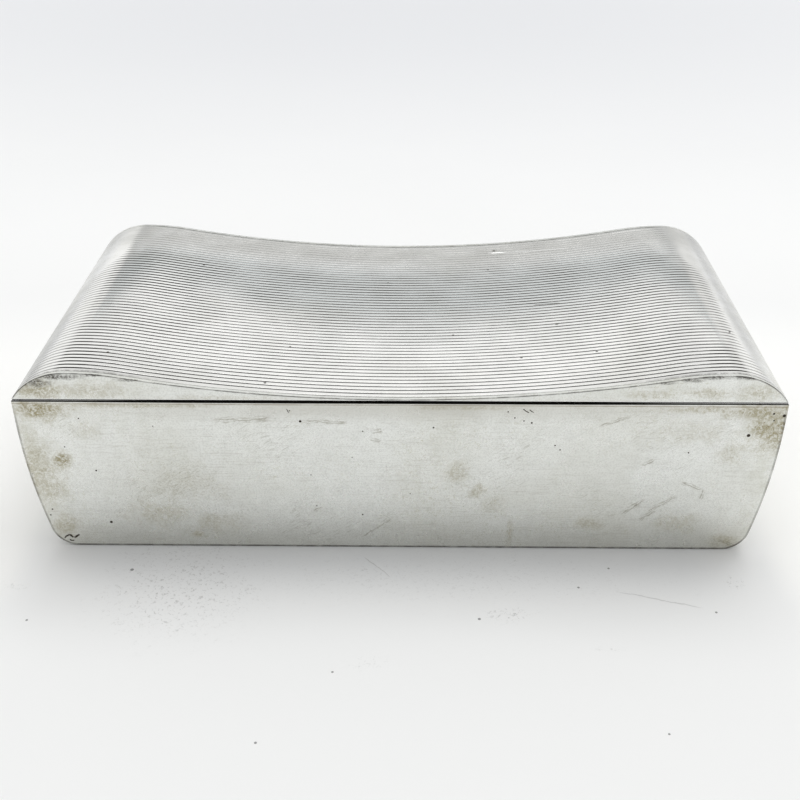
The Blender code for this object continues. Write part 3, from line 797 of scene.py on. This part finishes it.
def pin_steel(name):
    """Drawn wire, dull and a little stained."""
    shade = Shade(name)
    colour = shade.mix(shade.patches(0.001, 3.0, 0.35, 0.75), STEEL_PALE, STEEL_DARK)
    lines = shade.noise(1.0, 2.0, vector=shade.moved(scale=(0.01, 0.0001, 0.0001)))
    rough = shade.patches(0.002, 3.0, 0.3, 0.7, 0.35, 0.5)
    return shade.finish(colour, rough, shade.bump(lines, 0.3, 0.00001), metallic=1.0)


def cedar(name, along):
    """Bare cedar with its grain along X, Y or Z."""
    shade = Shade(name)
    stretch = [FIGURE_WIDTH] * 3
    stretch["XYZ".index(along)] = FIGURE_LENGTH
    fine_stretch = [PORE_WIDTH] * 3
    fine_stretch["XYZ".index(along)] = PORE_LENGTH
    figure = shade.noise(1.0, 5.0, 0.6, shade.moved(scale=stretch), warp=1.2)
    pores = shade.noise(1.0, 3.0, 0.6, shade.moved(scale=fine_stretch))
    colour = shade.mix(shade.fade(figure, 0.32, 0.68), CEDAR_PALE, CEDAR_DARK)
    colour = shade.mix(shade.fade(pores, 0.56, 0.7, 0.0, 0.7), colour, CEDAR_PORES)
    colour = shade.mix(shade.patches(0.03, 2.0, 0.3, 0.7, 0.0, 0.35), colour, CEDAR_TONE)
    rough = shade.fade(pores, 0.3, 0.7, 0.58, 0.72)
    normal = shade.bump(figure, 0.3, 0.0002, shade.bump(pores, 0.5, 0.0001))
    return shade.finish(colour, rough, normal)


SILVER = sheet_silver("worn_silver", 0.5)
FRONT_SILVER = sheet_silver(
    "front_silver", 0.95,
    FRONT_PITS, FRONT_GOUGES, FRONT_SCRATCHES, FRONT_STAINS, etches=FRONT_ETCHES,
)
LID_WALL = sheet_silver("lid_wall_silver", 0.95, stains=WALL_STAINS, grime_and_shade=WALL_GRIME_AND_SHADE)
REEDED = reeded_silver("reeded_silver")
TUBE = tube_silver("hinge_tube_silver")
STEEL = pin_steel("hinge_pin_steel")


# Silver pieces

def front_edge_dirt_and_shade(z):
    """Return how much dirt and painted contact shadow the front plate's edge holds at a height."""
    if z > RIM_HEIGHT - CLEAN_RIM:
        return 0
    # Full along the foot, where the contact shadow is painted
    return 1 if z < DIRTY_SHADED_FOOT else SIDE_DIRT


def add_body():
    """Add the two plates and the band between them, with edges rounded by polishing."""
    front = plate_bm(
        body_path, FRONT_FACE, FRONT_INSIDE, PLATE_EDGE_RADIUS, front_edge_dirt_and_shade,
        reach=PLATE_DIRT_SHADE_REACH,
    )
    smooth_object("front_plate_silver", front, FRONT_SILVER, "box", ["front_plate"])
    back = plate_bm(
        lambda inset: body_path(inset, BACK_HIGH.z), BACK_INSIDE, BACK_FACE, BACK_EDGE_RADIUS,
    )
    smooth_object("back_plate_silver", back, SILVER, "box", ["back_plate"])
    outer = body_path(0)
    inner = body_path(BAND_THICKNESS)
    inner[0] = (inner[0][0], RIM_HEIGHT)
    inner[-1] = (inner[-1][0], RIM_HEIGHT)
    band = strip_bm(outer, inner, FRONT_INSIDE, BACK_INSIDE)
    piece = smooth_object("wrap_band_silver", band, SILVER, "box", ["wrap_band"])
    piece.data.set_sharp_from_angle(angle=BAND_SHARP)


def reed_profile(share):
    """Return how deep the surface lies at a share of the pitch: a broad land, a narrow groove."""
    down = (abs(2 * share - 1) - REED_LAND_SHARE) / (1 - REED_LAND_SHARE)
    return REED_DEPTH * max(0, down) ** 2


def smooth_step(value, low, high):
    """Return 0 below low, 1 above high and a smooth curve between them."""
    share = min(max((value - low) / (high - low), 0), 1)
    return share * share * (3 - 2 * share)


def reed_wear(x, y):
    """Return the share of the reeds' depth that handling has left at a place."""
    back = smooth_step(y, *BACK_WEAR)
    front = 1 - smooth_step(y, FRONT_INSIDE, FRONT_WEAR_END)
    start, back_change, front_change = LEFT_WEAR if x < 0 else RIGHT_WEAR
    limit = start - back_change * back + front_change * front
    end = 1 - smooth_step(abs(x), limit - WEAR_WIDTH, limit)
    return end * (1 - REAR_WEAR * smooth_step(y, REAR_WEAR_START, BACK_INSIDE))


def reed_stations(pitch):
    """Return the y and the depth of every line along the reeds."""
    flank = (1 - REED_LAND_SHARE) / 2
    down = [flank * step / FLANK_STEPS for step in range(FLANK_STEPS)]
    up = [1 - share for share in [flank] + down[:0:-1]]
    shares = down + [flank, flank + LAND_MARGIN, 1 - flank - LAND_MARGIN] + up
    stations = []
    for reed in range(REED_COUNT):
        for share in shares:
            stations.append((FRONT_INSIDE + (reed + share) * pitch, reed_profile(share)))
    return stations + [(BACK_INSIDE, REED_DEPTH)]


def add_lid_top():
    """Add the reeded sheet with rounded reeds, worn shallow over the ends."""
    pitch = (BACK_INSIDE - FRONT_INSIDE) / REED_COUNT
    crown = lid_path(0)
    foot = lid_path(REED_DEPTH)
    bm = bmesh.new()
    layer = bm.verts.layers.float.new("groove")
    rows = []
    for y, depth in reed_stations(pitch):
        row = []
        for (x, z), (x_foot, z_foot) in zip(crown, foot):
            share = depth / REED_DEPTH * reed_wear(x, y)
            if y < FRONT_INSIDE + pitch / 2:
                share *= 1 - smooth_step(abs(x), *FIRST_FLANK_FADE)
            vert = bm.verts.new((x + (x_foot - x) * share, y, z + (z_foot - z) * share))
            vert[layer] = share
            row.append(vert)
        rows.append(row)
    under = [
        [bm.verts.new((x, y, z)) for x, z in lid_inside_path()]
        for y in (FRONT_INSIDE, BACK_INSIDE)
    ]
    for row, following in zip(rows, rows[1:]):
        join_rows(bm, row, following)
    join_rows(bm, rows[0], under[0])
    join_rows(bm, rows[-1], under[1])
    join_rows(bm, under[0], under[1])
    for end in (0, -1):
        bm.faces.new([row[end] for row in rows] + [under[1][end], under[0][end]])
    top = smooth_object("lid_reeded_sheet", bm, REEDED, "lid", ["lid_top"])
    top.data.set_sharp_from_angle(angle=REED_SHARP)


def join_rows(bm, row, following):
    """Join two open rows of vertices with quads."""
    for step in range(len(row) - 1):
        bm.faces.new((row[step], row[step + 1], following[step + 1], following[step]))


def crescent(inset, foot):
    """Return a lid wall's outline: the lid's curve over a straight foot."""
    path = lid_path(inset)
    return [(path[0][0], foot + inset)] + path[1:-1] + [(path[-1][0], foot + inset)]


def add_lid_walls():
    """Add the crescent walls at the lid's front and back."""
    for name, low, high, foot, node in (
        ("lid_front_crescent", FRONT_FACE, FRONT_INSIDE, LID_BOTTOM, "lid_front_wall"),
        ("lid_back_crescent", BACK_INSIDE, BACK_FACE, REAR_LOW.z, "lid_back_wall"),
    ):
        wall = plate_bm(
            lambda inset: crescent(inset, foot), low, high, PLATE_EDGE_RADIUS,
            lambda z: z > foot + CLEAN_LIP, reach=WALL_DIRT_REACH,
        )
        smooth_object(name, wall, LID_WALL, "lid", [node])


def turned_bm(profile, steps):
    """Turn a closed loop of (x, radius, edge) round the hinge's axis."""
    bm = bmesh.new()
    layer = bm.verts.layers.float.new("edge")
    rings = []
    for x, radius, edge in profile:
        ring = []
        for step in range(steps):
            angle = 2 * pi * step / steps
            vert = bm.verts.new((x, AXIS_Y + radius * cos(angle), AXIS_Z + radius * sin(angle)))
            vert[layer] = edge
            ring.append(vert)
        rings.append(ring)
    for ring, following in zip(rings, rings[1:] + rings[:1]):
        for step in range(steps):
            after = (step + 1) % steps
            bm.faces.new((ring[step], ring[after], following[after], following[step]))
    return bm


def knuckle_profile(left, right):
    """Return a tube's section from one end to the other and back through its bore."""
    bore = PIN_RADIUS + PIN_CLEARANCE
    fillet = [pi / 2 * step / FILLET_STEPS for step in range(FILLET_STEPS + 1)]
    start = []
    for angle in reversed(fillet):
        x = left + KNUCKLE_FILLET * (1 - sin(angle))
        start.append((x, KNUCKLE_RADIUS - KNUCKLE_FILLET * (1 - cos(angle)), 1))
    end = [(left + right - x, radius, edge) for x, radius, edge in reversed(start)]
    soft = [(left + KNUCKLE_SOOT, KNUCKLE_RADIUS, 0), (right - KNUCKLE_SOOT, KNUCKLE_RADIUS, 0)]
    return start + soft + end + [(right, bore, 1), (left, bore, 1)]


def add_hinge():
    """Add finer knuckles and pin, and give the bearers their finish."""
    for name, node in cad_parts.items():
        if "knuckle" in name:
            low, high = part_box(name)
            tube = turned_bm(knuckle_profile(low.x, high.x), HINGE_STEPS)
            body = "lid" if name.startswith("lid") else "box"
            piece = smooth_object(name + "_tube", tube, TUBE, body, [name])
            piece.data.set_sharp_from_angle(angle=HINGE_SHARP)
        if "bearer" in name:
            node.data.materials.clear()
            node.data.materials.append(TUBE)
    left, right = PIN_LOW.x, PIN_HIGH.x
    nose = PIN_RADIUS / 2
    profile = [
        (left, PIN_TIP_RADIUS, 1), (left, PIN_RADIUS - nose, 1), (left + nose, PIN_RADIUS, 1),
        (right - nose, PIN_RADIUS, 1), (right, PIN_RADIUS - nose, 1), (right, PIN_TIP_RADIUS, 1),
    ]
    pin = smooth_object(
        "hinge_pin_wire", turned_bm(profile, HINGE_STEPS), STEEL, "box", ["hinge_pin"],
    )
    pin.data.set_sharp_from_angle(angle=HINGE_SHARP)


def add_lining():
    """Give the cedar boards grain along their length, and eased edges."""
    grains = {
        "cedar_floor": "X", "cedar_front": "X", "cedar_back": "X",
        "cedar_left_end": "Y", "cedar_right_end": "Y", "cedar_divider": "Y",
    }
    made = {along: cedar(f"cedar_along_{along}", along) for along in "XY"}
    for name, along in grains.items():
        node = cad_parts[name]
        node.data.materials.clear()
        node.data.materials.append(made[along])
        weld = node.modifiers.new("weld", "WELD")
        weld.merge_threshold = BOARD_WELD
        bevel = node.modifiers.new("rounded_edges", "BEVEL")
        bevel.width = BOARD_ROUND
        bevel.segments = BOARD_ROUND_STEPS
        bevel.limit_method = "ANGLE"
        bevel.angle_limit = BOARD_SHARP


# Studio

CAMERA_PLACE = (0.00434, -0.25716, 0.168)
CAMERA_PITCH_YAW_ROLL = (30.68, -1.04, -0.26)
CAMERA_LENS = 49.5
CAMERA_SENSOR = 36.0
CAMERA_CLIP = (0.01, 50.0)

LAMP_PLACE = (0.25, 0.75, 2.2)
LAMP_AIM = (0, 0, 0.03)
LAMP_SIZE = (1.9, 1.5)
LAMP_POWER = 23.5

FLOOR_SIZE = 6.0
FLOOR_CELLS = 8
FLOOR_DROP = 0.00002
FLOOR_GLOSS = 0.2
FLOOR_ROUGHNESS = 0.7

# Colours of the floor, of the light and shade painted on it, and of the dust and marks on it
FLOOR_PALE = (0.93, 0.935, 0.935)
FLOOR_CLOUD = (0.915, 0.92, 0.92)
# Painted shade far behind
FLOOR_FAR_SHADE = (0.8, 0.81, 0.83)
FLOOR_MIDDLE_FAR_SHADE = (0.73, 0.74, 0.765)
# Painted light beside the box, painted shade in front of it and a painted contact shadow
FLOOR_SIDE_LIGHT = (0.995, 0.995, 0.985)
FLOOR_FRONT_SHADE = (0.895, 0.9, 0.9)
FLOOR_CONTACT_SHADOW = (0.6, 0.62, 0.66)
DUST = (0.55, 0.56, 0.57)
FLOOR_MARK = (0.34, 0.34, 0.33)
SPECK_DARK = (0.12, 0.12, 0.12)

# Marks on the floor, in millimetres: x and y
FLOOR_SPECKS = (
    (-63.3, -53.7, 0.45), (-83, -71.5, 0.3), (-13.3, -86.8, 0.28), (42, -59, 0.3),
    (18.5, -70, 0.36), (-27.1, -106.2, 0.3), (72, -67.2, 0.3), (54.5, -103, 0.26), (50, -52, 0.28),
)
FLOOR_SCRATCHES = (
    (-8.5, -48, -1.5, -56, 0.16), (50, -60, 70, -66, 0.22),
)
FLOOR_SMUDGES = (
    (-42, -48.4, 4, 1.8, 0.9), (-90, -60, 7, 2.4, 0.35), (25, -68.5, 7, 3.6, 0.9),
    (79, -57, 4, 3.6, 0.8), (46, -79, 5, 1.4, 0.4), (-6, -84, 6, 3, 0.45), (28, -50, 1.6, 4, 0.45),
    (-8, -53, 3, 1.6, 0.6), (-50, -60, 26, 24, 0.8), (10, -56, 80, 14, 0.25),
)

# Colours of the tent: by elevation in degrees from the bottom up, then its painted areas
TENT_BANDS = (
    (-10, (0.72, 0.72, 0.72)), (20, (0.58, 0.58, 0.575)), (23.6, (0.64, 0.64, 0.635)),
    (24.7, (0.565, 0.605, 0.615)), (26.4, (0.565, 0.605, 0.615)), (27.4, (1, 1, 0.99)),
    (30.6, (1, 1, 0.99)), (32, (0.78, 0.78, 0.77)), (46, (0.8, 0.8, 0.8)),
    (62, (0.45, 0.45, 0.45)),
)
BAND_TILT = 0.09
TENT_UPPER_RIGHT = (0.8, 0.8, 0.8)
TENT_LEFT = (0.92, 0.92, 0.91)
TENT_RIGHT = (0.86, 0.86, 0.85)
TENT_FAR_RIGHT = (0.98, 0.98, 0.97)
TENT_PANEL = (0.95, 0.95, 0.945)
TENT_BACKDROP = (0.86, 0.865, 0.875)


def pale_floor():
    """Painted pale board with faint dust, scuffs and a grainy patch, with painted shade far behind.
    """
    shade = Shade("pale_board")
    y, bow = shade.y, shade.bow
    colour = shade.mix(shade.patches(0.12, 3.0, 0.3, 0.7), FLOOR_PALE, FLOOR_CLOUD)
    # Painted shade far behind, most of all straight behind
    far = shade.fade(y, 0.1, 0.6)
    colour = shade.mix(far, colour, FLOOR_FAR_SHADE)
    middle = shade.fade(bow, 0.4, 0.05, 0.0, 0.6)
    colour = shade.over(colour, FLOOR_MIDDLE_FAR_SHADE, far, middle)

    # Painted light beside the box, painted shade in front of it and a painted contact shadow where
    # it stands
    sides = shade.area(
        (bow, 0.086, 0.094), (bow, 0.22, 0.12), (y, -0.08, -0.055), (y, 0.1, 0.03),
    )
    front = shade.area((y, -0.052, -0.07), (y, -0.2, -0.125), (bow, 0.105, 0.078))
    contact = shade.area((y, -0.066, -0.048), (y, 0.0, -0.02), (bow, 0.084, 0.066))
    colour = shade.mix(sides, colour, FLOOR_SIDE_LIGHT)
    colour = shade.mix(front, colour, FLOOR_FRONT_SHADE)
    colour = shade.over(colour, FLOOR_CONTACT_SHADOW, contact, 0.26)

    # Dust, smudges, scratches and specks
    dust = shade.largest(
        shade.specks(0.05, 0.0012, 0.25), shade.specks(0.02, 0.0005, 0.15, (0.01, 0.004, 0)),
    )
    colour = shade.over(colour, DUST, dust, 0.25)
    flat = shade.plane(shade.x, y)
    bent = shade.warped(flat, 3.0, 1.2)
    grain = shade.patches(0.0008, 3.0, 0.54, 0.68, rough=0.6, warp=1.0)
    smudge = shade.product(shade.masks(shade.stain, flat, FLOOR_SMUDGES), grain)
    scratch = shade.product(shade.masks(shade.stroke, bent, FLOOR_SCRATCHES), 0.6)
    colour = shade.over(colour, FLOOR_MARK, shade.largest(smudge, scratch), 0.6)
    colour = shade.over(colour, SPECK_DARK, shade.masks(shade.pit, flat, FLOOR_SPECKS), 0.75)
    shade.shader.inputs["Specular IOR Level"].default_value = FLOOR_GLOSS
    return shade.finish(colour, FLOOR_ROUGHNESS)


def add_floor():
    """Add the floor, a hair under the box."""
    bm = bmesh.new()
    bmesh.ops.create_grid(bm, x_segments=FLOOR_CELLS, y_segments=FLOOR_CELLS, size=FLOOR_SIZE)
    mesh = bpy.data.meshes.new("studio_floor")
    bm.to_mesh(mesh)
    bm.free()
    floor = bpy.data.objects.new("studio_floor", mesh)
    floor.location = (0, 0, -FLOOR_DROP)
    bpy.context.scene.collection.objects.link(floor)
    mesh.materials.append(pale_floor())


def add_camera():
    """Place the camera where the photograph was taken from."""
    pitch, yaw, roll = map(radians, CAMERA_PITCH_YAW_ROLL)
    ahead = Vector((sin(yaw) * cos(pitch), cos(yaw) * cos(pitch), -sin(pitch)))
    right = Vector((cos(yaw), -sin(yaw), 0))
    up = right.cross(ahead)
    turned_right = cos(roll) * right + sin(roll) * up
    turned_up = -sin(roll) * right + cos(roll) * up
    data = bpy.data.cameras.new("camera")
    data.lens = CAMERA_LENS
    data.sensor_width = CAMERA_SENSOR
    data.clip_start, data.clip_end = CAMERA_CLIP
    camera = bpy.data.objects.new("camera", data)
    bpy.context.scene.collection.objects.link(camera)
    basis = Matrix((turned_right, turned_up, -ahead)).transposed().to_4x4()
    camera.matrix_world = Matrix.Translation(CAMERA_PLACE) @ basis
    bpy.context.scene.camera = camera


def add_lamp():
    """Add the soft lamp high over the box, a little to the back right."""
    data = bpy.data.lights.new("top_softbox", "AREA")
    data.shape = "RECTANGLE"
    data.size, data.size_y = LAMP_SIZE
    data.energy = LAMP_POWER
    lamp = bpy.data.objects.new("top_softbox", data)
    lamp.location = LAMP_PLACE
    ahead = Vector(LAMP_AIM) - Vector(LAMP_PLACE)
    lamp.rotation_euler = ahead.to_track_quat("-Z", "Y").to_euler()
    bpy.context.scene.collection.objects.link(lamp)


def add_world():
    """Add a light tent in level bands, with pale sides, a near panel and a pale foot."""
    world = bpy.data.worlds.new("tent")
    world.use_nodes = True
    bpy.context.scene.world = world
    tent = Nodes(world.node_tree)
    x, y, z = tent.split(tent.add("ShaderNodeTexCoord", {}).outputs["Generated"])

    # The bands, which dip a little towards both sides
    dip = tent.product(tent.math("ABSOLUTE", x), BAND_TILT)
    ramp = tent.add("ShaderNodeValToRGB", {"Fac": tent.math("ADD", dip, z)})
    elements = ramp.color_ramp.elements
    while len(elements) < len(TENT_BANDS):
        elements.new(0.5)
    for element, (elevation, colour) in zip(elements, TENT_BANDS):
        element.position = max(0.0, sin(radians(elevation)))
        element.color = (*colour, 1.0)

    # The painted areas, later ones over earlier ones
    left_shade = tent.fade(x, -0.08, -0.2, 1.0, 0.95)
    colour = tent.mix(1.0, ramp.outputs["Color"], left_shade, "MULTIPLY")
    upper_right = tent.area((x, 0.04, 0.16), (z, 0.46, 0.51))
    colour = tent.mix(upper_right, colour, TENT_UPPER_RIGHT)
    colour = tent.mix(tent.fade(x, -0.25, -0.33), colour, TENT_LEFT)
    colour = tent.mix(tent.fade(x, 0.25, 0.36, 0.0, 0.9), colour, TENT_RIGHT)
    colour = tent.mix(tent.fade(x, 0.44, 0.54), colour, TENT_FAR_RIGHT)
    near_shade = tent.fade(z, 0.36, 0.56, 0.8, 0.3)
    colour = tent.mix(tent.fade(y, 0.0, -0.55), colour, near_shade, "MULTIPLY")
    panel = tent.area((y, -0.6, -0.85), (z, 0.1, 0.2), (z, 0.5, 0.4))
    colour = tent.mix(panel, colour, TENT_PANEL)
    colour = tent.mix(tent.fade(z, 0.16, 0.07), colour, TENT_BACKDROP)
    background = tent.tree.nodes["Background"]
    tent.link(colour, background.inputs["Color"])
    background.inputs["Strength"].default_value = 1.0


add_body()
add_lid_top()
add_lid_walls()
add_hinge()
add_lining()
add_floor()
add_camera()
add_world()
add_lamp()
bpy.context.scene.view_settings.view_transform = "Standard"
